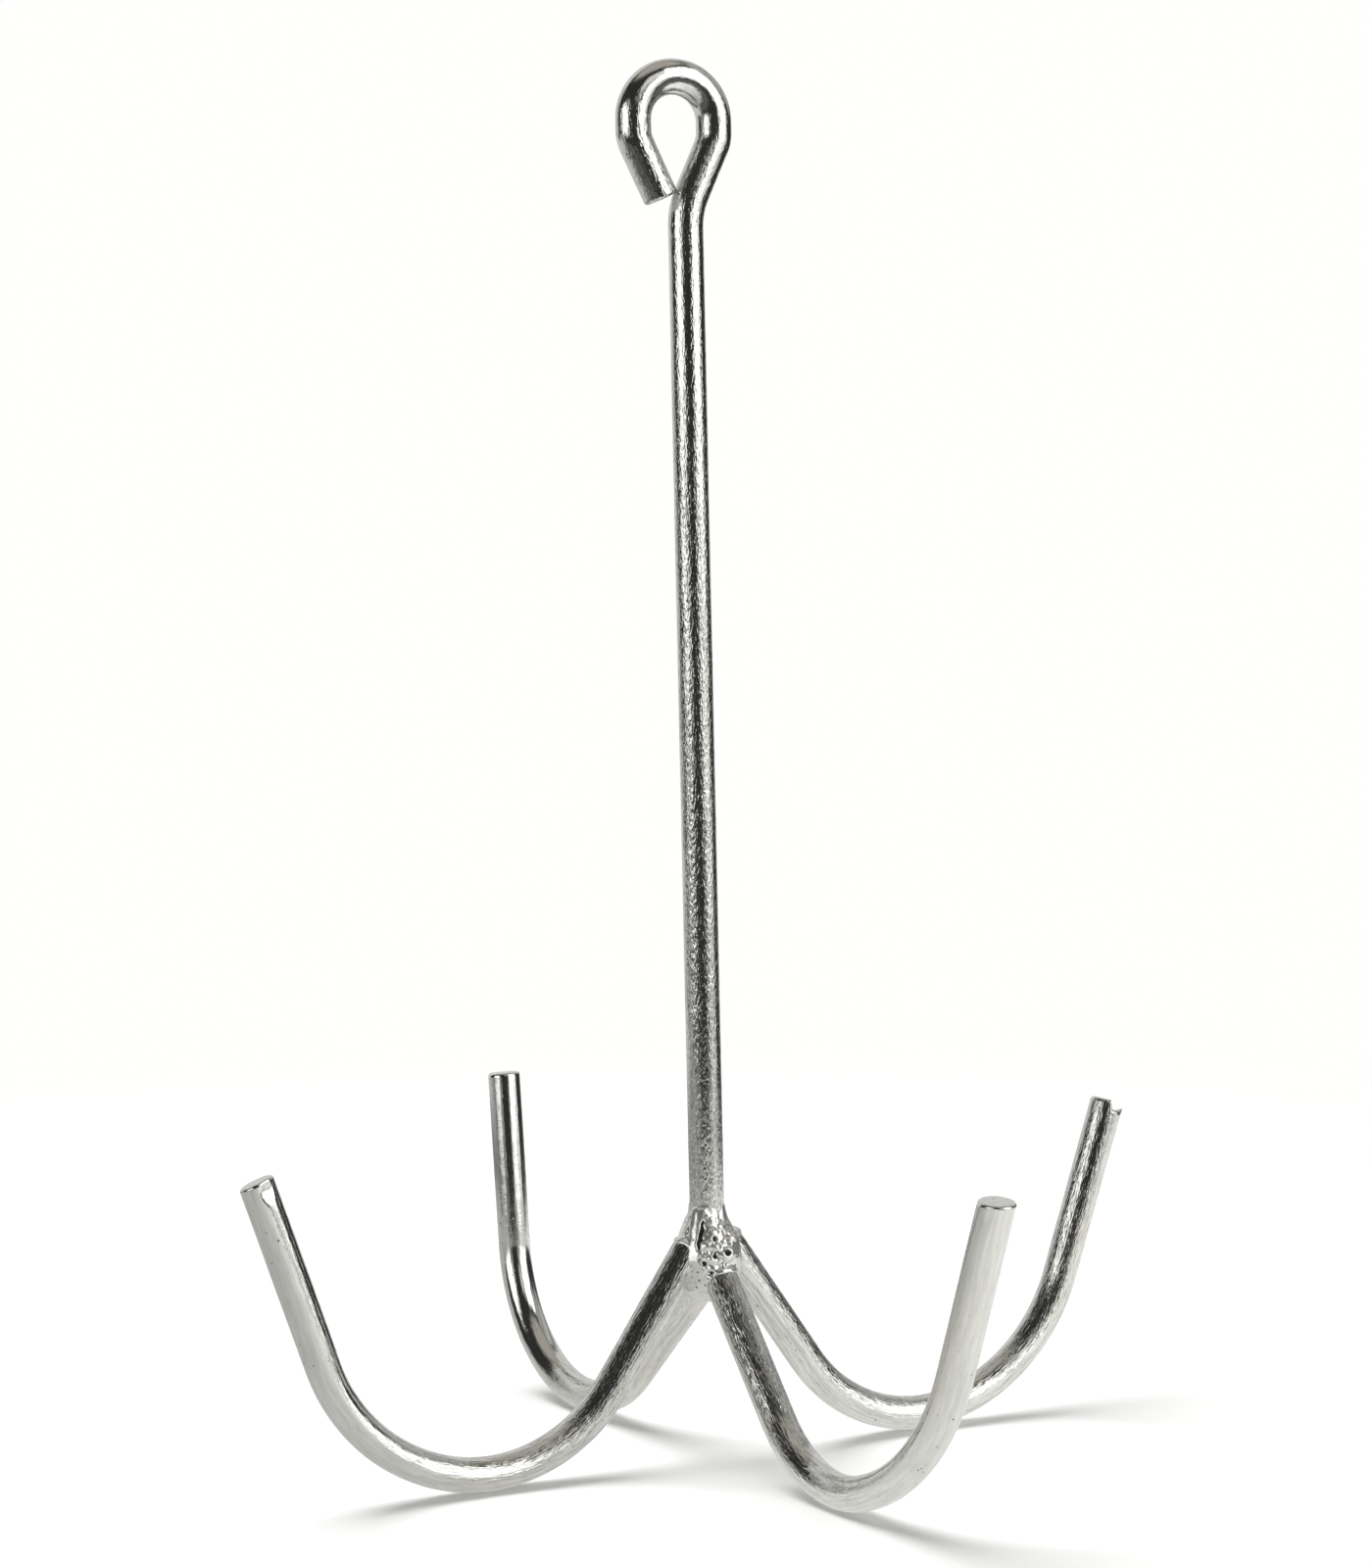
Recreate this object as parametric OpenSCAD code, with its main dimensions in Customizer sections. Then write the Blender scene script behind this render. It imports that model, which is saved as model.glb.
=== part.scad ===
// Grapnel-style hanging hook: a long shank with a closed eye, and four upturned
// hooks of the same round bar welded around the shank's foot.
// Millimetres. +Z runs up the shank, and z = 0 is the floor under the hooks.

/* [Bar] */
// Diameter of the round bar that the shank and the hooks are bent from
bar_diameter = 6; // [4:0.5:10]
// Chamfer left by shearing and tumbling on every free end
end_chamfer = 0.35; // [0.1:0.05:1]
// Height of the faint ring that the bending tool leaves where a bend starts or ends
mark_rise = 0.03; // [0.01:0.01:0.2]
// Width of that ring along the bar
mark_width = 0.6; // [0.3:0.1:2]

/* [Shank and eye] */
// Height of the shank's foot above the floor
shank_foot = 35; // [30:0.5:45]
// Overall height of the part, to the top of the eye
overall_height = 240.5; // [180:0.5:320]
// Radius of the eye's round top, at the middle of the bar
eye_radius = 7.35; // [6:0.05:14]
// Direction of the eye's plane about the shank, in degrees from +X
eye_direction = -6.5; // [-90:0.5:90]
// How far the eye's middle stands off the shank's axis, towards the free leg
eye_offset = 1.8; // [0:0.1:4]
// Radius of the bends where the eye's limbs turn inwards
limb_bend = 6; // [5:0.5:14]
// Straight length of the eye's shank-side limb above its inward bend
shank_limb = 1.8; // [0.2:0.1:8]
// Angle that the shank-side leg leans, in degrees
shank_lean = 25; // [15:0.5:35]
// Radius of the bend that brings the shank-side leg upright again
neck_bend = 13.5; // [8:0.5:25]
// Straight length of the eye's free limb above its inward bend
free_limb = 1.7; // [0.2:0.1:8]
// Angle that the free leg leans, in degrees
free_lean = 25.5; // [15:0.5:35]
// Straight length of the free leg, down to its cut end beside the shank
free_leg = 9.9; // [5:0.1:15]

/* [Hooks] */
// Each list holds the right (+X), back (+Y), left (-X) and front (-Y) hook.
// Direction of each hook about the shank, in degrees from +X
hook_direction = [-1, 92, 177, 272]; // [-10:1:360]
// Angle between each arm and the shank, in degrees
arm_slope = [34.5, 49, 34.5, 40]; // [25:0.5:60]
// Straight length of each arm, from its welded end to the start of its bend
arm_length = [25, 28.5, 24.5, 26]; // [15:0.5:45]
// Radius of the bottom of each hook, at the middle of the bar
saddle_bend = [28.5, 28.5, 28, 24]; // [15:0.5:40]
// Radius of the outer part of each bend, up to the prong
outer_bend = [33, 26, 31.5, 43]; // [15:0.5:60]
// Outward lean of each prong, in degrees
prong_lean = [19.5, 4.5, 18.5, 22.5]; // [0:0.5:40]
// Straight length of each prong, up to its cut end
prong_length = [32.5, 32.5, 33.5, 30.5]; // [15:0.5:50]
// Distance from the shank's axis to the middle of each welded end
arm_reach = 4.9; // [4:0.1:8]

/* [Weld] */
// Height above the floor of the weld metal's lower edge
weld_bottom = 27.5; // [24:0.5:34]
// Height above the floor of the weld metal's upper edge on the shank
weld_top = 44; // [38:0.5:50]
// Largest radius of the weld metal around the shank
weld_radius = 6.4; // [5:0.1:9]
// Radius of the lumps along each weld bead
weld_lump = 1.7; // [1:0.1:2.5]

/* [Hidden] */
$fn = 64;
bar_radius = bar_diameter / 2;
right = 0;
back = 1;
left = 2;
front = 3;
// Heading, from straight down, at which every hook's saddle bend gives way to its outer bend.
saddle_end = 106;
// Height of the middle of the bar where the eye's round top starts and ends.
eye_level = overall_height - bar_radius - eye_radius;
// Each length of bar stops this far short of the next, inside the ring that joins them.
seam = 0.05;
plated = [0.76, 0.77, 0.74];
weld_grey = [0.80, 0.81, 0.79];

// The bars lie in the XZ plane and are followed as [x, z] points with a heading:
// 0 is straight down, 90 is outwards along +X and 180 is straight up.
function ahead(start, heading, length) = start + length * [sin(heading), -cos(heading)];
function bend_centre(start, heading, radius) = start + radius * [cos(heading), sin(heading)];
function after_bend(start, heading, radius, turn) =
    bend_centre(start, heading, radius) - radius * [cos(heading + turn), sin(heading + turn)];

// Height of the middle of a hook's welded end, which puts its saddle on the floor.
function arm_top(i) =
    bar_radius + arm_length[i] * cos(arm_slope[i]) + saddle_bend[i] * (1 - sin(arm_slope[i]));

module straight(start, heading, length) {
    translate([start.x, 0, start.y])
        rotate([0, 180 - heading, 0])
            rotate([0, 0, 30])
                translate([0, 0, seam])
                    cylinder(h = length - 2 * seam, r = bar_radius);
}

// A straight length whose far end is chamfered.
module cut_end(start, heading, length) {
    translate([start.x, 0, start.y])
        rotate([0, 180 - heading, 0])
            rotate_extrude()
                polygon([
                    [0, seam],
                    [bar_radius, seam],
                    [bar_radius, length - end_chamfer],
                    [bar_radius - end_chamfer, length],
                    [0, length]
                ]);
}

// A bend towards the left of the heading, or towards its right if radius and turn are negative.
module bend(start, heading, radius, turn) {
    centre = bend_centre(start, heading, radius);
    first = radius > 0 ? heading + 180 : heading + turn;
    trim = seam / abs(radius) * 180 / PI;
    translate([centre.x, 0, centre.y])
        rotate([90, 0, 0])
            rotate([0, 0, first + trim])
                rotate_extrude(angle = abs(turn) - 2 * trim)
                    translate([abs(radius), 0])
                        circle(r = bar_radius);
}

// The faint ring where a bend starts or ends, which joins the two lengths of bar.
module mark(point, heading) {
    translate([point.x, 0, point.y])
        rotate([0, 180 - heading, 0])
            translate([0, 0, -mark_width / 2])
                cylinder(h = mark_width, r = bar_radius + mark_rise);
}

// The shank's bar, followed from the eye's round top down both of its limbs.
module shank_bar() {
    crown = [eye_radius - eye_offset, eye_level];
    free_side = [-eye_radius - eye_offset, eye_level];
    shank_turn = crown - [0, shank_limb];
    shank_leg = after_bend(shank_turn, 0, -limb_bend, -shank_lean);
    neck_width = neck_bend * (1 - cos(shank_lean));
    shank_leg_length = (shank_leg.x - neck_width) / sin(shank_lean);
    neck = ahead(shank_leg, -shank_lean, shank_leg_length);
    shank_top = neck.y - neck_bend * sin(shank_lean);
    free_turn = free_side - [0, free_limb];
    free_end = after_bend(free_turn, 0, limb_bend, free_lean);
    bend(crown, 180, eye_radius, 180);
    straight(crown, 0, shank_limb);
    bend(shank_turn, 0, -limb_bend, -shank_lean);
    straight(shank_leg, -shank_lean, shank_leg_length);
    bend(neck, -shank_lean, neck_bend, shank_lean);
    straight([0, shank_top], 0, shank_top - shank_foot);
    straight(free_side, 0, free_limb);
    bend(free_turn, 0, limb_bend, free_lean);
    cut_end(free_end, free_lean, free_leg);
    mark(crown, 0);
    mark(shank_turn, 0);
    mark(shank_leg, -shank_lean);
    mark(neck, -shank_lean);
    mark([0, shank_top], 0);
    mark(free_side, 0);
    mark(free_turn, 0);
    mark(free_end, free_lean);
}

// Hook i, in the XZ plane, from its welded end out to the tip of its prong.
module hook_bar(i) {
    slope = arm_slope[i];
    rise = 180 - prong_lean[i];
    top = [arm_reach, arm_top(i)];
    arm_foot = ahead(top, slope, arm_length[i]);
    saddle = after_bend(arm_foot, slope, saddle_bend[i], saddle_end - slope);
    prong = after_bend(saddle, saddle_end, outer_bend[i], rise - saddle_end);
    straight(top, slope, arm_length[i]);
    bend(arm_foot, slope, saddle_bend[i], saddle_end - slope);
    bend(saddle, saddle_end, outer_bend[i], rise - saddle_end);
    cut_end(prong, rise, prong_length[i]);
    mark(arm_foot, slope);
    mark(saddle, saddle_end);
    mark(prong, rise);
}

module hook(i) {
    rotate([0, 0, hook_direction[i]])
        hook_bar(i);
}

// The arm of hook i, which the weld metal beside it is cut away around.
module arm(i) {
    rotate([0, 0, hook_direction[i]])
        straight([arm_reach, arm_top(i)], arm_slope[i], arm_length[i]);
}

// Weld metal in the valley between hook i and the next one: a tapered fillet with three lumps.
module weld_bead(i) {
    start = hook_direction[i];
    turn = (hook_direction[(i + 1) % 4] - start + 360) % 360;
    height = weld_top - weld_bottom;
    difference() {
        rotate([0, 0, start])
            union() {
                rotate_extrude(angle = turn)
                    polygon([
                        [0, weld_bottom],
                        [0.5 * weld_radius, weld_bottom],
                        [0.8 * weld_radius, weld_bottom + 0.15 * height],
                        [weld_radius, weld_bottom + 0.35 * height],
                        [weld_radius, weld_bottom + 0.65 * height],
                        [0.75 * weld_radius, weld_bottom + 0.85 * height],
                        [bar_radius + 0.2, weld_top],
                        [0, weld_top]
                    ]);
                for (k = [-1:1])
                    rotate([0, 0, turn / 2 + 14 * k])
                        translate([weld_radius - 0.8, 0, weld_bottom + (0.5 + 0.13 * k) * height])
                            sphere(r = weld_lump);
            }
        arm(i);
        arm((i + 1) % 4);
        translate([0, 0, shank_foot])
            cylinder(h = weld_top, r = bar_radius);
    }
}

module shank() {
    color(plated)
        rotate([0, 0, eye_direction])
            shank_bar();
}

module hook_right() {
    color(plated)
        hook(right);
}

module hook_back() {
    color(plated)
        hook(back);
}

module hook_left() {
    color(plated)
        hook(left);
}

module hook_front() {
    color(plated)
        hook(front);
}

module weld_back_right() {
    color(weld_grey)
        weld_bead(right);
}

module weld_back_left() {
    color(weld_grey)
        weld_bead(back);
}

module weld_front_left() {
    color(weld_grey)
        weld_bead(left);
}

module weld_front_right() {
    color(weld_grey)
        weld_bead(front);
}

shank();
hook_right();
hook_back();
hook_left();
hook_front();
weld_back_right();
weld_back_left();
weld_front_left();
weld_front_right();
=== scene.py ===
"""Grapnel-style hanging hook: five bent and plated bars and the weld metal that joins them."""
import bmesh
import bpy
import math
import random
import numpy as np
from mathutils import Matrix, Vector, noise


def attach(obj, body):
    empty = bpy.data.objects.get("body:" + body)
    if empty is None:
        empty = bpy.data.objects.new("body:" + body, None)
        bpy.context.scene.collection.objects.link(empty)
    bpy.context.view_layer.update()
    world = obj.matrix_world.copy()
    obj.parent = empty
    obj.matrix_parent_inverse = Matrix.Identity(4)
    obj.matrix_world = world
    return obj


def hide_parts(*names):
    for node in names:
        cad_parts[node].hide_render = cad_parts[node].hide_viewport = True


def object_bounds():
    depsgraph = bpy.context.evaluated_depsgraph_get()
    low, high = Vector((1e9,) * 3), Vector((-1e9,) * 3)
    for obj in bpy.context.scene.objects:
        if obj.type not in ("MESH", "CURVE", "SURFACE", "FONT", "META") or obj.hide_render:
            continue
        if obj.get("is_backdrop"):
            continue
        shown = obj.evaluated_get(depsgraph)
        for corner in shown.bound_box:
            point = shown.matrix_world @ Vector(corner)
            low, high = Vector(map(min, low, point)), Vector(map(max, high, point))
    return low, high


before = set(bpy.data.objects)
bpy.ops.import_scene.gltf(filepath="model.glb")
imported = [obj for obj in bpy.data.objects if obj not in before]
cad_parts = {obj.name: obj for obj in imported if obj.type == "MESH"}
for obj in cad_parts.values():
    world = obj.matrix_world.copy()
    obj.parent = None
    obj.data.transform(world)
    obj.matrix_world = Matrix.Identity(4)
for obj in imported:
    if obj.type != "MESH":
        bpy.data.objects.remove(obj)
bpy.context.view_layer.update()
MM = 0.001
VIEW_TURN = math.radians(-28.6)      # the object stands turned this far to the viewer

# ---------------------------------------------------------------- bars, in mm, as part.scad bends them
BAR = 3.0
HOOKS = {  # direction, arm slope, arm length, saddle bend, outer bend, prong lean, prong length
    "right": (-1, 34.5, 25, 28.5, 33, 19.5, 32.5),
    "back": (92, 49, 28.5, 28.5, 26, 4.5, 32.5),
    "left": (177, 34.5, 24.5, 28, 31.5, 18.5, 33.5),
    "front": (272, 40, 26, 24, 43, 22.5, 30.5),
}
ARM_REACH = 4.9
BURIED = {"right": 3.0, "back": 2.0, "left": 3.0, "front": 1.6}  # how far each arm runs on, inside the weld
SADDLE_END = 106
EYE_DIRECTION = -6.5
STEP = 0.45
AROUND = 56


def hook_moves(name):
    """Where a hook starts in its own plane, its first heading, and its lengths and bends."""
    _, slope, arm, saddle, outer, lean, prong = HOOKS[name]
    top = BAR + arm * math.cos(math.radians(slope)) + saddle * (1 - math.sin(math.radians(slope)))
    rise = 180 - lean
    buried, a = BURIED[name], math.radians(slope)
    moves = [(arm + buried, 0), (saddle, SADDLE_END - slope), (outer, rise - SADDLE_END), (prong, 0)]
    return (ARM_REACH - buried * math.sin(a), top + buried * math.cos(a)), slope, moves


def shank_moves():
    """The shank's bar, followed up from its foot, round the eye and down to the cut end."""
    foot, top, eye, offset = 35, 240.5, 7.35, 1.8
    limb, short_limb, lean, neck, free, free_lean, free_leg = 6, 1.8, 25, 13.5, 1.7, 25.5, 9.9
    a = math.radians(lean)
    crown = (eye - offset, top - BAR - eye - short_limb)
    leg_top = (crown[0] - limb * (1 - math.cos(a)), crown[1] - limb * math.sin(a))
    leg = (leg_top[0] - neck * (1 - math.cos(a))) / math.sin(a)
    straight = leg_top[1] - leg * math.cos(a) - neck * math.sin(a) - foot
    moves = [(straight, 0), (neck, -lean), (leg, 0), (limb, lean), (short_limb, 0), (eye, 180),
             (free, 0), (limb, free_lean), (free_leg, 0)]
    return (0, foot), 180, moves


def follow(start, heading, moves):
    """Points along the middle of a bar: x, z, heading, distance and curvature (signed, 1/mm)."""
    x, z = start
    h = math.radians(heading)
    run = 0.0
    rows = [(x, z, h, 0.0, 0.0)]
    for size, turn in moves:
        if turn:
            t = math.radians(turn)
            sign = 1 if turn > 0 else -1
            length = size * abs(t)
            n = max(2, round(length / STEP))
            cx, cz = x + sign * size * math.cos(h), z + sign * size * math.sin(h)
            for k in range(1, n + 1):
                a = h + t * k / n
                rows.append((cx - sign * size * math.cos(a), cz - sign * size * math.sin(a), a,
                             run + length * k / n, sign / size))
            h += t
        else:
            length = size
            n = max(2, round(length / STEP))
            for k in range(1, n + 1):
                d = size * k / n
                rows.append((x + d * math.sin(h), z - d * math.cos(h), h, run + d, 0.0))
        x, z = rows[-1][0], rows[-1][1]
        run += length
    return np.array(rows)


def wave(x, y, z, seed):
    return noise.noise(Vector((x + 17.3 * seed, y - 9.1 * seed, z + 4.7 * seed)))


END_ZONE = 4.0        # how far from a cut end the metal leans with the cut
# Rings on the face of a bar's first end, along the edge of its cut end (distance before the cut, and part of
# the bar's radius) and on the cut face
FOOT_RINGS = (0.14, 0.4, 0.68, 0.88)
EDGE_RINGS = ((0.8, 1.0), (0.58, 1.0), (0.4, 0.99), (0.25, 0.965), (0.12, 0.92), (0.03, 0.85))
END_RINGS = (0.74, 0.6, 0.44, 0.28, 0.13)
CHIP_FROM, CHIP_SLOPE = 0.12, 0.22    # where a chip starts on the cut face and how wide its edge is, in radii


def eased(part):
    """A smooth step from 0 to 1."""
    part = min(1.0, max(0.0, part))
    return part * part * (3 - 2 * part)


def cut_lift(cut, side, across, seed):
    """How far a cut end stands out beyond a square one, at a place on its face."""
    lift = cut["raised"] + cut["tilt"] * side / BAR
    lift += 0.05 * wave(side * 0.9, across * 0.35, 1.0, seed)
    lift += 0.03 * wave(side * 3, across * 1.2, 2.0, seed + 1)
    return lift - cut.get("chip", 0.0) * eased((side / BAR - CHIP_FROM) / CHIP_SLOPE)


def shear(places, coords, rings, heading, cut, seed):
    """Lean, chip and burr the last few mm of a bar, as its cut end does."""
    total = coords[:, 0].max()
    rim = rings - len(END_RINGS) - 1
    facing = cut["facing"]
    for i, (along, inward, round_) in enumerate(coords):
        near = (along - total + END_ZONE) / (0.85 * END_ZONE)
        if near <= 0:
            continue
        side = inward * math.cos(facing) + round_ * math.sin(facing)
        across = -inward * math.sin(facing) + round_ * math.cos(facing)
        lift = eased(near) * cut_lift(cut, side, across, seed + 5)
        places[i] += (lift * math.sin(heading), 0, -lift * math.cos(heading))
        level = 1 - abs(i // AROUND - (rim - 1)) / 3
        if level <= 0:
            continue
        angle = math.atan2(round_, inward)
        away = math.atan2(math.sin(angle - facing), math.cos(angle - facing)) / cut["burr_width"]
        burr = level * cut["burr"] * math.exp(-away * away) * (0.8 + 0.5 * wave(angle * 4, 0, 0, seed + 8))
        outward = 0.35 * burr
        places[i] += (burr * math.sin(heading) + outward * math.cos(angle) * math.cos(heading),
                      outward * math.sin(angle),
                      -burr * math.cos(heading) + outward * math.cos(angle) * math.sin(heading))


def sweep(name, path, turn, seed, cut, grain, pressed=0.42, dents=()):
    """A closed bar around a path, with the small unevenness of drawn, bent and sheared steel."""
    count = len(path)
    curve = np.convolve(np.pad(path[:, 4], 4, mode="edge"), np.ones(9) / 9, mode="valid")
    theta = np.linspace(0, 2 * math.pi, AROUND, endpoint=False)
    total = path[-1, 3]
    verts, coords = [], []

    def ring(k, inset, push):
        x, z, h, s, _ = path[k]
        flat = max(-0.03, min(0.045, pressed * abs(curve[k])))     # pressed across its bend
        for a in theta:
            c, q = math.cos(a), math.sin(a)
            r = BAR * (1 - flat * c * c + 0.4 * flat * q * q)
            r += 0.028 * wave(s / 11, c * 0.9, q * 0.9, seed)
            r += 0.010 * wave(s / 2.4, c * 1.7, q * 1.7, seed + 3)
            for back, angle, long, round_, deep in dents:
                along = (s + push - total + back) / long
                off = math.atan2(math.sin(a - angle), math.cos(a - angle)) / round_
                r -= deep * math.exp(-along * along - off * off)
            r *= inset
            verts.append((x + push * math.sin(h) + r * c * math.cos(h), r * q,
                          z - push * math.cos(h) + r * c * math.sin(h)))
            coords.append((s + push, r * c, r * q))

    for inset in FOOT_RINGS:
        ring(0, inset, 0.0)
    ring(0, 1.0, 0.12)
    for k in range(1, count - 1):
        if path[k, 3] < total - 0.9:
            ring(k, 1.0, 0.0)
    for back, inset in EDGE_RINGS:
        ring(count - 1, inset, -back)
    for inset in END_RINGS:
        ring(count - 1, inset, 0.0)
    v, c = np.array(verts), np.array(coords)
    rings = len(verts) // AROUND
    shear(v, c, rings, path[-1, 2], cut, seed)
    faces = []
    for k in range(rings - 1):
        for j in range(AROUND):
            a, b = k * AROUND + j, k * AROUND + (j + 1) % AROUND
            faces.append((a, a + AROUND, b + AROUND, b))
    faces.append(tuple(range(AROUND)))
    faces.append(tuple((rings - 1) * AROUND + j for j in range(AROUND))[::-1])
    ca, sa = math.cos(math.radians(turn)), math.sin(math.radians(turn))
    v = np.column_stack((v[:, 0] * ca - v[:, 1] * sa, v[:, 0] * sa + v[:, 1] * ca, v[:, 2]))
    v *= MM
    mesh = bpy.data.meshes.new(name)
    mesh.from_pydata([tuple(p) for p in v], [], faces)
    mesh.update()
    place = mesh.attributes.new("bar", "FLOAT_VECTOR", "POINT")
    place.data.foreach_set("vector", np.ascontiguousarray(c, dtype=np.float32).ravel())
    coarse = mesh.attributes.new("coarse", "FLOAT", "POINT")
    amounts = np.interp(c[:, 0] / total, [g[0] for g in grain], [g[1] for g in grain])
    coarse.data.foreach_set("value", amounts.astype(np.float32))
    mesh.polygons.foreach_set("use_smooth", [True] * len(mesh.polygons))
    obj = bpy.data.objects.new(name, mesh)
    bpy.context.scene.collection.objects.link(obj)
    return obj


# ---------------------------------------------------------------- shader helpers
class Nodes:
    """Short names for building a node tree."""

    def __init__(self, tree):
        self.tree = tree
        tree.nodes.clear()

    def add(self, kind, **settings):
        node = self.tree.nodes.new(kind)
        inputs = settings.pop("inputs", {})
        for key, value in settings.items():
            setattr(node, key, value)
        for key, value in inputs.items():
            self.put(node.inputs[key], value)
        return node

    def put(self, socket, value):
        if isinstance(value, bpy.types.NodeSocket):
            self.tree.links.new(value, socket)
        elif isinstance(value, bpy.types.Node):
            self.tree.links.new(value.outputs[0], socket)
        else:
            socket.default_value = value

    def math(self, operation, a, b=None, c=None):
        node = self.add("ShaderNodeMath", operation=operation)
        for i, value in enumerate((a, b, c)):
            if value is not None:
                self.put(node.inputs[i], value)
        return node.outputs[0]

    def ramp(self, value, low, high, to_low=0.0, to_high=1.0):
        node = self.add("ShaderNodeMapRange", interpolation_type="SMOOTHSTEP")
        self.put(node.inputs[0], value)
        for i, number in enumerate((low, high, to_low, to_high)):
            node.inputs[i + 1].default_value = number
        return node.outputs[0]

    def scaled(self, vector, scale):
        node = self.add("ShaderNodeVectorMath", operation="MULTIPLY")
        self.put(node.inputs[0], vector)
        node.inputs[1].default_value = scale
        return node.outputs[0]

    def noise(self, vector, scale, detail=3.0, rough=0.5, distortion=0.0):
        node = self.add("ShaderNodeTexNoise")
        self.put(node.inputs["Vector"], vector)
        node.inputs["Scale"].default_value = scale
        node.inputs["Detail"].default_value = detail
        node.inputs["Roughness"].default_value = rough
        node.inputs["Distortion"].default_value = distortion
        return node.outputs["Fac"]

    def mix_colour(self, factor, a, b):
        node = self.add("ShaderNodeMix", data_type="RGBA")
        self.put(node.inputs[0], factor)
        self.put(node.inputs[6], a)
        self.put(node.inputs[7], b)
        return node.outputs[2]


# What differs between a drawn bar and weld metal: how metallic, the strength of dark drawn lines, the height
# of fine streaks, the pits' size, spread and depth, and the colour and strength of the painted shade in the
# pits
BAR_LOOK = {"metallic": 1.0, "lines": 0.45, "streaks": 0.012, "pit_size": 0.2, "pits_from": 0.52,
            "pit_depth": 0.03, "pit_shade_colour": (0.10, 0.10, 0.10, 1), "pit_shade_strength": 0.85}
WELD_LOOK = {"metallic": 0.82, "lines": 0.0, "streaks": 0.0, "pit_size": 0.27, "pits_from": 0.4,
             "pit_depth": 0.004, "pit_shade_colour": (0.025, 0.025, 0.03, 1), "pit_shade_strength": 0.97}
WELD_COARSE = 0.12
DULL_ZINC, BRIGHT_ZINC = (0.76, 0.76, 0.735, 1), (0.87, 0.87, 0.845, 1)
STAIN, LINE_TONE, FLECK_TONE = (0.74, 0.71, 0.64, 1), (0.36, 0.36, 0.35, 1), (0.30, 0.30, 0.29, 1)


def plated(name, look, drawn=1.0, relief=0.13):
    """Bright zinc over steel: drawn-out grain, mottled crystals, pits darkened with painted shade, faint
    stains and rubs.
    """
    material = bpy.data.materials.new(name)
    material.use_nodes = True
    n = Nodes(material.node_tree)
    weld = look is WELD_LOOK
    if weld:
        where = n.scaled(n.add("ShaderNodeTexCoord").outputs["Object"], (1 / MM, 1 / MM, 1 / MM))
        coarse = WELD_COARSE
    else:
        where = n.add("ShaderNodeAttribute", attribute_name="bar").outputs["Vector"]
        coarse = n.add("ShaderNodeAttribute", attribute_name="coarse").outputs["Fac"]
    streaks = n.noise(n.scaled(where, (0.1, 1, 1)), 1.5, 3, 0.6)
    flecks = n.noise(n.scaled(where, (drawn, 1, 1)), 3.0, 1.6, 0.6, 0.3)
    mottle = n.noise(where, 1.3, 4, 0.6, 0.3)
    broad = n.noise(n.scaled(where, (0.35, 1, 1)), 0.16, 2, 0.5)
    cells = n.add("ShaderNodeTexVoronoi", feature="F1")
    n.put(cells.inputs["Vector"], n.scaled(where, (0.7, 1, 1)))
    cells.inputs["Scale"].default_value = 0.85
    pits = n.ramp(cells.outputs["Distance"], 0.05, look["pit_size"], 1.0, 0.0)
    spread = n.ramp(n.noise(where, 0.5, 2), look["pits_from"], look["pits_from"] + 0.14)
    pits = n.math("MULTIPLY", pits, spread)
    # On weld metal the hollows in its skin count as pits, so they get the same painted shade
    if weld:
        hollow = n.add("ShaderNodeAttribute", attribute_name="hollow").outputs["Fac"]
        pits = n.math("MAXIMUM", pits, n.ramp(hollow, 0.1, 0.32))
    # colour: zinc, then stains, drawn lines, flecks, and painted shade in the pits over it
    tone = n.mix_colour(n.ramp(streaks, 0.35, 0.65), DULL_ZINC, BRIGHT_ZINC)
    tone = n.mix_colour(n.math("MULTIPLY", n.ramp(broad, 0.45, 0.75), 0.4), tone, STAIN)
    lines = n.ramp(n.noise(n.scaled(where, (0.05, 1, 1)), 1.9, 2, 0.6), 0.48, 0.62)
    lines = n.math("MULTIPLY", lines, coarse)
    tone = n.mix_colour(n.math("MULTIPLY", lines, look["lines"]), tone, LINE_TONE)
    dark = n.math("MULTIPLY", n.ramp(flecks, 0.52, 0.7), coarse)
    tone = n.mix_colour(n.math("MULTIPLY", dark, 0.5), tone, FLECK_TONE)
    # painted shade: the pits are darkened towards the shade colour
    tone = n.mix_colour(n.math("MULTIPLY", pits, look["pit_shade_strength"]), tone, look["pit_shade_colour"])
    # gloss
    rough = n.math("ADD", n.ramp(broad, 0.3, 0.75, 0.06, 0.12), n.ramp(mottle, 0.3, 0.75, 0.0, 0.05))
    rough = n.math("ADD", rough, 0.12 if weld else n.math("MULTIPLY", pits, 0.25))
    # relief, in mm
    high = n.math("MULTIPLY", n.math("MULTIPLY", flecks, coarse), relief)
    high = n.math("ADD", high, n.math("MULTIPLY", streaks, look["streaks"]))
    high = n.math("ADD", high, n.math("MULTIPLY", mottle, 0.012))
    high = n.math("SUBTRACT", high, n.math("MULTIPLY", pits, look["pit_depth"]))
    bump = n.add("ShaderNodeBump")
    bump.inputs["Strength"].default_value = 1.0
    bump.inputs["Distance"].default_value = MM
    n.put(bump.inputs["Height"], high)
    shader = n.add("ShaderNodeBsdfPrincipled")
    shader.inputs["Metallic"].default_value = look["metallic"]
    n.put(shader.inputs["Base Color"], tone)
    n.put(shader.inputs["Roughness"], rough)
    n.put(shader.inputs["Normal"], bump.outputs["Normal"])
    out = n.add("ShaderNodeOutputMaterial")
    n.put(out.inputs["Surface"], shader.outputs["BSDF"])
    return material


bar_finish = plated("zinc_on_bar", BAR_LOOK, drawn=0.3)
hook_finish = plated("zinc_on_hook", BAR_LOOK, drawn=0.14, relief=0.19)
weld_finish = plated("zinc_on_weld", WELD_LOOK)

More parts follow.
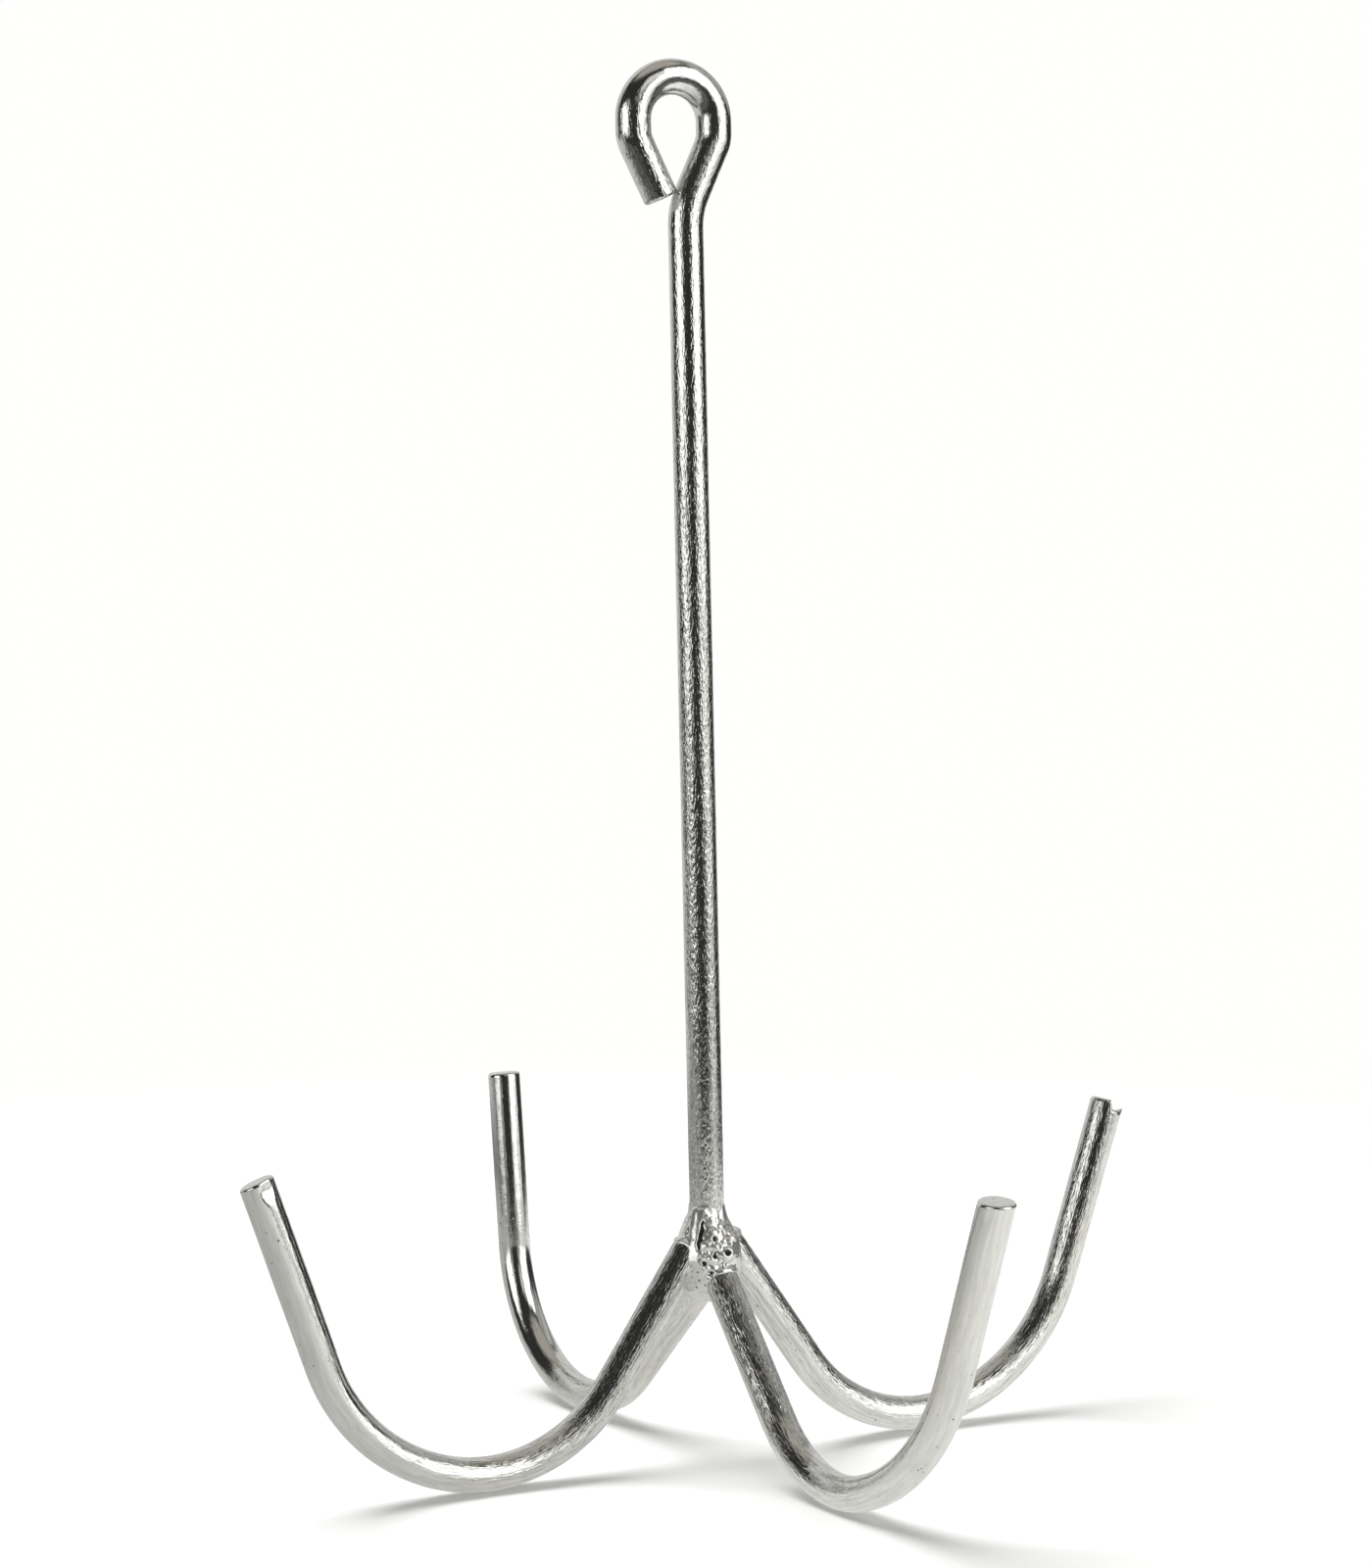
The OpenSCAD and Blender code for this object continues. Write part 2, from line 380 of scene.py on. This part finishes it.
# ---------------------------------------------------------------- the five bars
# Cut ends: the side (in radians around the bar, 0 on its inner side) that the cut leaves longer, by how much
# it slopes and stands out, the burr and the angle it spans, and the depth of any chip on that side
CUTS = {
    "right": {"facing": 3.62, "tilt": 0.05, "raised": 0.1, "burr": 0.9, "burr_width": 0.22, "chip": 1.6},
    "back": {"facing": 2.4, "tilt": -0.04, "raised": 0.0, "burr": 0.05, "burr_width": 0.5},
    "left": {"facing": 1.13, "tilt": 0.42, "raised": 0.2, "burr": 0.08, "burr_width": 0.4},
    "front": {"facing": 3.1, "tilt": 0.7, "raised": 0.6, "burr": 0.03, "burr_width": 0.5},
}
# Dents near a tip: how far below it, on which side, how long and how wide around, and how deep
DENTS = {
    "left": ((1.5, 1.37, 1.2, 0.36, 0.42),),
    "front": ((1.7, 4.04, 0.9, 0.33, 0.16),),
}
# How coarse the drawn surface is along each bar, as pairs of (part of its length, amount)
GRAIN = {
    "right": ((0, 0.9), (0.45, 0.6), (0.6, 0.8), (1, 0.6)),
    "back": ((0, 0.7), (0.45, 0.4), (0.62, 0.12), (1, 0.08)),
    "left": ((0, 1.0), (0.3, 0.8), (0.6, 0.25), (1, 0.12)),
    "front": ((0, 1.0), (0.3, 0.7), (0.55, 0.2), (1, 0.12)),
    "shank": ((0, 0.5), (0.13, 0.6), (0.2, 0.9), (0.55, 0.9), (0.72, 0.5), (0.8, 0.6), (0.85, 0.25),
              (0.91, 0.15), (0.94, 0.6), (1, 0.8)),
}
EYE_CUT = {"facing": 0.3, "tilt": 0.06, "raised": 0.0, "burr": 0.1, "burr_width": 0.4}


def finish_piece(piece, material, node):
    """Hand a piece of the visual model over in place of its CAD node."""
    piece.data.materials.append(material)
    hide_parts(node)
    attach(piece, "root")


for k, name in enumerate(HOOKS):
    path = follow(*hook_moves(name))
    bar = sweep("bar_hook_" + name, path, HOOKS[name][0], 11 + k, CUTS[name], GRAIN[name],
                dents=DENTS.get(name, ()))
    finish_piece(bar, hook_finish, "hook_" + name)
path = follow(*shank_moves())
bar = sweep("bar_shank", path, EYE_DIRECTION, 5, EYE_CUT, GRAIN["shank"], pressed=-0.12)
finish_piece(bar, bar_finish, "shank")


# ---------------------------------------------------------------- weld metal
VOXEL = 0.17          # how finely the weld's skin is made, in mm


def blob_mesh(name, balls, pits, seed):
    """Overlapping balls fused into one skin, then pitted and made uneven as cooled weld metal is."""
    bm = bmesh.new()
    for centre, radius in balls:
        place = Matrix.Translation(centre * MM)
        bmesh.ops.create_icosphere(bm, subdivisions=2, radius=radius * MM, matrix=place)
    mesh = bpy.data.meshes.new(name)
    bm.to_mesh(mesh)
    bm.free()
    obj = bpy.data.objects.new(name, mesh)
    bpy.context.scene.collection.objects.link(obj)
    remesh = obj.modifiers.new("skin", "REMESH")
    remesh.mode = "VOXEL"
    remesh.voxel_size = VOXEL * MM
    smooth = obj.modifiers.new("flow", "SMOOTH")
    smooth.factor = 0.5
    smooth.iterations = 8
    graph = bpy.context.evaluated_depsgraph_get()
    done = bpy.data.meshes.new_from_object(obj.evaluated_get(graph))
    obj.modifiers.clear()
    obj.data = done
    done.name = name
    count = len(done.vertices)
    p = np.empty(count * 3, dtype=np.float32)
    q = np.empty(count * 3, dtype=np.float32)
    done.vertices.foreach_get("co", p)
    done.vertices.foreach_get("normal", q)
    p, q = p.reshape(-1, 3) / MM, q.reshape(-1, 3)
    broad = np.array([wave(x / 2.2, y / 2.2, z / 2.2, seed) for x, y, z in p])
    fine = np.array([wave(x / 0.6, y / 0.6, z / 0.6, seed + 1) for x, y, z in p])
    lift = 0.12 * broad + 0.015 * fine
    hollow = np.zeros(count)
    for centre, radius, deep in pits:
        outward = np.array((centre.x, centre.y, 0)) / math.hypot(centre.x, centre.y)
        off = p - np.array(centre)
        apart = (off ** 2).sum(axis=1) - 0.85 * (off @ outward) ** 2      # mostly across the surface
        hollow += deep * np.exp(-apart / radius ** 2)
    lift -= hollow
    # each hollow's depth is kept, for the painted shade that the weld's finish puts in it
    done.attributes.new("hollow", "FLOAT", "POINT").data.foreach_set("value", hollow.astype(np.float32))
    done.vertices.foreach_set("co", ((p + q * lift[:, None]) * MM).ravel())
    done.polygons.foreach_set("use_smooth", [True] * len(done.polygons))
    done.update()
    return obj


def at(angle, reach, height):
    a = math.radians(angle)
    return Vector((reach * math.cos(a), reach * math.sin(a), height))


def skin_reach(height):
    return float(np.interp(height, [p[0] for p in SKIN], [p[1] for p in SKIN]))


def facing(sideways, reach):
    """The direction of a place that a viewer of the front sees this far right of the shank's axis."""
    return 270 + math.degrees(VIEW_TURN) + math.degrees(math.asin(max(-1, min(1, sideways / reach))))


ORDER = ["right", "back", "left", "front"]
WELDS = ["weld_back_right", "weld_back_left", "weld_front_left", "weld_front_right"]
# The weld metal's height, and how far it stands from the shank's axis there
SKIN = ((30.2, 4.1), (31.0, 5.1), (32.0, 5.6), (34.0, 5.9), (36.0, 6.0), (38.0, 5.6), (39.8, 4.7),
        (41.2, 4.0), (42.4, 3.55), (43.5, 3.25), (44.1, 3.08))
SKIN_STEP, SKIN_BALL, SKIN_CORE = 0.62, 2.1, 1.6    # between rows of balls, largest ball, bare middle
# The long bead on the left of the joint, seen from the front: sideways place, height, reach from the axis
LONG_BEAD = ((-2.7, 37.0, 5.8), (-2.6, 39.0, 5.35), (-2.4, 41.0, 4.8), (-2.05, 42.5, 4.3),
             (-1.75, 43.5, 3.9))
# The deep lines on its right and on its left, as sideways place and height, and how deep each is
GROOVES = (
    (((-1.9, 37.9), (-1.55, 39.4), (-1.1, 40.8), (-0.55, 42.5)), 0.36),
    (((-3.75, 40.3), (-3.2, 42.0), (-2.8, 43.4)), 0.22),
)
# Lumps seen from the front: sideways place, height, how far proud of the skin, radius
LUMPS = {
    "weld_front_left": (
        (0.9, 40.0, 0.4, 1.7), (0.6, 42.2, 0.25, 1.5), (-0.1, 38.3, 0.35, 1.2), (1.6, 38.0, 0.4, 1.2),
        (-1.1, 36.6, 0.3, 1.1), (0.7, 36.2, 0.35, 1.0), (-0.4, 34.7, 0.35, 1.0), (1.1, 34.4, 0.35, 0.9),
        (0.3, 33.0, 0.35, 0.8)),
    "weld_front_right": (
        (3.9, 36.7, 0.9, 1.7), (2.6, 41.0, 0.3, 1.4), (3.1, 38.9, 0.35, 1.1), (2.3, 36.9, 0.3, 0.9),
        (2.8, 34.9, 0.35, 1.0), (4.8, 39.0, 0.4, 0.9), (1.9, 33.6, 0.3, 0.8)),
}
# Pits seen from the front: sideways place, height, radius, depth
PITS = {
    "weld_front_left": (
        (1.25, 39.6, 0.33, 0.4), (0.6, 37.4, 0.3, 0.35), (-0.7, 37.3, 0.28, 0.3), (1.4, 36.8, 0.45, 0.5),
        (-0.9, 35.6, 0.28, 0.35), (0.2, 35.3, 0.26, 0.3), (0.5, 33.8, 0.4, 0.45), (-1.6, 36.3, 0.26, 0.3)),
    "weld_front_right": (
        (3.3, 37.3, 0.62, 0.8), (2.0, 39.9, 0.4, 0.45), (2.7, 40.2, 0.4, 0.45), (2.3, 37.9, 0.3, 0.35),
        (2.4, 35.9, 0.35, 0.4), (3.7, 39.9, 0.3, 0.35), (1.9, 34.6, 0.3, 0.35), (3.3, 35.2, 0.3, 0.35)),
}


def end_bead(name, way):
    """Balls along the rim of an arm's buried end, on one side of it, where the bead laps over the cut."""
    (reach, height), slope, _ = hook_moves(name)
    a = math.radians(slope)
    turn = math.radians(HOOKS[name][0])
    rim, inside = 2.55, 0.35
    for around in range(0, 105, 9):
        t = math.radians(around)
        out = reach + inside * math.sin(a) + rim * math.cos(t) * math.cos(a)
        up = height - inside * math.cos(a) + rim * math.cos(t) * math.sin(a)
        across = way * rim * math.sin(t)
        place = Vector((out * math.cos(turn) - across * math.sin(turn),
                        out * math.sin(turn) + across * math.cos(turn), up))
        yield place, 0.72 + 0.08 * math.sin(around / 9)


def between(height, line, column):
    """A column of a line's points, read off at a height."""
    return float(np.interp(height, [p[1] for p in line], [p[column] for p in line]))


def skin_balls(first, second):
    """Balls that fill the valley between two arms, with an uneven top edge."""
    for height in np.arange(SKIN[0][0], SKIN[-1][0] + 0.1, SKIN_STEP):
        reach = skin_reach(height)
        size = min(SKIN_BALL, reach - SKIN_CORE)
        for part in np.linspace(0.05, 0.95, 10):
            angle = first + part * (second - first)
            uneven = 1.5 * max(0, height - 38) / 6 * wave(*at(angle, 1.3, 0), 21)
            yield at(angle, reach - size, height + uneven), size


def bead_balls():
    for height in np.arange(LONG_BEAD[0][1], LONG_BEAD[-1][1], 0.25):
        reach = between(height, LONG_BEAD, 2)
        size = min(2.2, reach - SKIN_CORE)
        yield at(facing(between(height, LONG_BEAD, 0), reach), reach - size, height), size


def front_pit(sideways, height, size, deep):
    """A pit at a place seen from the front."""
    reach = skin_reach(height) + 0.3
    return at(facing(sideways, reach), reach, height), size, deep


def groove_pits():
    for line, deep in GROOVES:
        for height in np.arange(line[0][1], line[-1][1], 0.35):
            sideways = between(height, line, 0) + 0.35 * wave(height * 0.9, 0, 0, 12)
            yield front_pit(sideways, height, 0.32 + 0.2 * wave(0, height, 0, 13), deep)


# Where small pits are scattered on the two front welds: sideways from and to
SCATTER = {"weld_front_left": (-1.6, 1.8), "weld_front_right": (1.6, 4.2)}
rng = random.Random(7)
for k, name in enumerate(WELDS):
    first, second = HOOKS[ORDER[k]][0] % 360, HOOKS[ORDER[(k + 1) % 4]][0] % 360
    if second < first:
        second += 360
    balls, pits = [*skin_balls(first, second)], []
    balls += [*end_bead(ORDER[k], 1), *end_bead(ORDER[(k + 1) % 4], -1)]
    if name == "weld_front_left":
        balls += bead_balls()
        pits += groove_pits()
    for sideways, height, proud, size in LUMPS.get(name, ()):
        reach = skin_reach(height) + proud
        balls.append((at(facing(sideways, reach), reach - size, height), size))
    pits += [front_pit(*pit) for pit in PITS.get(name, ())]
    if name in SCATTER:
        for _ in range(9):
            sideways = rng.uniform(*SCATTER[name])
            height = rng.uniform(34, 41)
            size = rng.uniform(0.17, 0.32)
            pits.append(front_pit(sideways, height, size, rng.uniform(0.2, 0.4)))
    else:
        for _ in range(16):
            height, size, proud = rng.uniform(33, 42.5), rng.uniform(0.7, 1.6), rng.uniform(0.2, 0.5)
            angle = rng.uniform(first + 10, second - 10)
            balls.append((at(angle, skin_reach(height) + proud - size, height), size))
            angle += rng.uniform(-25, 25)
            pits.append((at(angle, skin_reach(height) + 0.3, height + 1), 0.4, 0.25))
    piece = blob_mesh("bead_" + name[5:], balls, pits, 30 + k)
    finish_piece(piece, weld_finish, name)

# ---------------------------------------------------------------- camera, at the photograph's viewing angle
DOWN, ROLL = 0.0620, -0.0219                    # how far the camera looks down and leans, in radians
CAMERA_AT = Vector((-0.002014, -0.62233, 0.15614))    # before the turn about the shank's axis
spin = Matrix.Rotation(VIEW_TURN, 3, "Z")
ahead = Vector((0, math.cos(DOWN), -math.sin(DOWN)))
side = Vector((1, 0, 0))
up = side.cross(ahead)
side, up = math.cos(ROLL) * side + math.sin(ROLL) * up, -math.sin(ROLL) * side + math.cos(ROLL) * up
basis = spin @ Matrix((side, up, -ahead)).transposed()
camera = bpy.data.cameras.new("viewpoint")
camera.lens = 83.5
camera.sensor_width = 36
camera.clip_start, camera.clip_end = 0.01, 20
view = bpy.data.objects.new("viewpoint", camera)
view.matrix_world = Matrix.Translation(spin @ CAMERA_AT) @ basis.to_4x4()
bpy.context.scene.collection.objects.link(view)
bpy.context.scene.camera = view

# ---------------------------------------------------------------- floor
FLOOR = 0.55
bpy.ops.mesh.primitive_circle_add(vertices=96, radius=FLOOR, fill_type="NGON", location=(0, 0, -0.0001))
floor = bpy.context.object
floor.name = "floor"
floor.rotation_euler.z = VIEW_TURN
material = bpy.data.materials.new("pale_floor")
material.use_nodes = True
n = Nodes(material.node_tree)
place = n.add("ShaderNodeTexCoord").outputs["Object"]
distance = n.add("ShaderNodeVectorMath", operation="LENGTH", inputs={0: place}).outputs["Value"]
seen = n.add("ShaderNodeLightPath").outputs["Is Camera Ray"]
across = n.add("ShaderNodeSeparateXYZ", inputs={0: place}).outputs["X"]
paper = n.noise(place, 60, 3)
shade = n.mix_colour(n.math("MULTIPLY", paper, 0.03), (0.95, 0.95, 0.95, 1), (0.8, 0.8, 0.8, 1))
matte = n.add("ShaderNodeBsdfDiffuse", inputs={"Color": shade})
# For all but camera rays the floor glows instead of being lit: painted light, brighter to the right and
# fading away from the middle
lit = n.math("MULTIPLY", n.ramp(across, -0.15, 0.14, 0.48, 0.95), n.ramp(distance, 0.24, 0.36, 1, 0.12))
glow = n.add("ShaderNodeEmission", inputs={"Color": (1, 1, 0.975, 1), "Strength": lit})
surface = n.add("ShaderNodeMixShader", inputs={0: seen, 1: glow.outputs[0], 2: matte.outputs[0]})
clear = n.add("ShaderNodeBsdfTransparent")
fade = n.ramp(distance, FLOOR * 0.45, FLOOR * 0.98)
mix = n.add("ShaderNodeMixShader", inputs={0: fade, 1: surface.outputs[0], 2: clear.outputs[0]})
n.put(n.add("ShaderNodeOutputMaterial").inputs["Surface"], mix.outputs[0])
floor.data.materials.append(material)
floor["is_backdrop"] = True

# ---------------------------------------------------------------- studio light
world = bpy.data.worlds.new("studio")
bpy.context.scene.world = world
world.use_nodes = True
n = Nodes(world.node_tree)
direction = n.add("ShaderNodeTexCoord").outputs["Generated"]
turned = n.add("ShaderNodeVectorRotate", rotation_type="Z_AXIS")
n.put(turned.inputs["Vector"], direction)
turned.inputs["Angle"].default_value = -VIEW_TURN
parts = n.add("ShaderNodeSeparateXYZ")
n.put(parts.inputs[0], turned.outputs[0])
x, y, z = parts.outputs
azimuth = n.math("ARCTAN2", x, n.math("MULTIPLY", y, -1))
elevation = n.math("ARCSINE", z)


def soft_box(centre, half, low, high, soft=8.0, soft_up=10.0):
    """A soft-edged patch of sky. Azimuth 0 is behind the viewer, and it grows to the viewer's right."""
    r = math.radians
    off = n.math("SUBTRACT", azimuth, r(centre))
    off = n.math("ABSOLUTE", n.math("WRAP", off, math.pi, -math.pi))
    wide = n.ramp(off, r(half - soft), r(half + soft), 1.0, 0.0)
    tall = n.math("MULTIPLY", n.ramp(elevation, r(low - soft_up), r(low + soft_up)),
                  n.ramp(elevation, r(high - soft_up), r(high + soft_up), 1.0, 0.0))
    return n.math("MULTIPLY", wide, tall)


LIGHTS = [  # azimuth, half width, lowest, highest, strength, softness of its sides and of its ends
    (62, 25, -3, 50, 1.7, 3, 5),
    (-53, 19, -4, 25, 1.6, 3, 6),
    (-33, 8, -4, 20, 0.5, 6, 6),
    (70, 22, -12, 2, 0.85, 6, 4),
    (27, 14, 18, 42, 0.75, 8, 8),
    (105, 14, 22, 60, 0.4, 10, 8),
    (196, 46, -25, 62, 0.66, 5, 12),
    (130, 14, 12, 60, 0.5, 10, 8),
    (-124, 14, -5, 55, 0.45, 8, 12),
    (-104, 30, -30, -6, 0.62, 8, 3),
    (0, 400, 62, 100, 0.42, 10, 9),
    (0, 400, -100, -16, 0.12, 10, 7),
]
DARK = 0.03
total = DARK
for centre, half, low, high, strength, soft, soft_up in LIGHTS:
    patch = soft_box(centre, half, low, high, soft, soft_up)
    total = n.math("MAXIMUM", total, n.math("MULTIPLY", patch, strength))
to_camera = n.add("ShaderNodeLightPath").outputs["Is Camera Ray"]
shown = n.add("ShaderNodeMix", data_type="FLOAT")
n.put(shown.inputs[0], to_camera)
n.put(shown.inputs[2], total)
shown.inputs[3].default_value = 1.0
background = n.add("ShaderNodeBackground")
warm = n.ramp(elevation, math.radians(48), math.radians(62))
n.put(background.inputs["Color"], n.mix_colour(warm, (1, 1, 0.985, 1), (1, 0.95, 0.86, 1)))
n.put(background.inputs["Strength"], shown.outputs[0])
n.put(n.add("ShaderNodeOutputWorld").inputs["Surface"], background.outputs[0])

lamp = bpy.data.lights.new("overhead", "AREA")
lamp.shape = "RECTANGLE"
lamp.size, lamp.size_y = 0.9, 0.7
lamp.energy = 14
overhead = bpy.data.objects.new("overhead", lamp)
overhead.location = spin @ Vector((-0.35, 0.15, 1.2))
overhead.rotation_euler = (-overhead.location).to_track_quat("-Z", "Y").to_euler()
overhead.visible_glossy = False
overhead.visible_camera = False
bpy.context.scene.collection.objects.link(overhead)
bpy.context.scene.view_settings.view_transform = "Standard"

low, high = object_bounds()
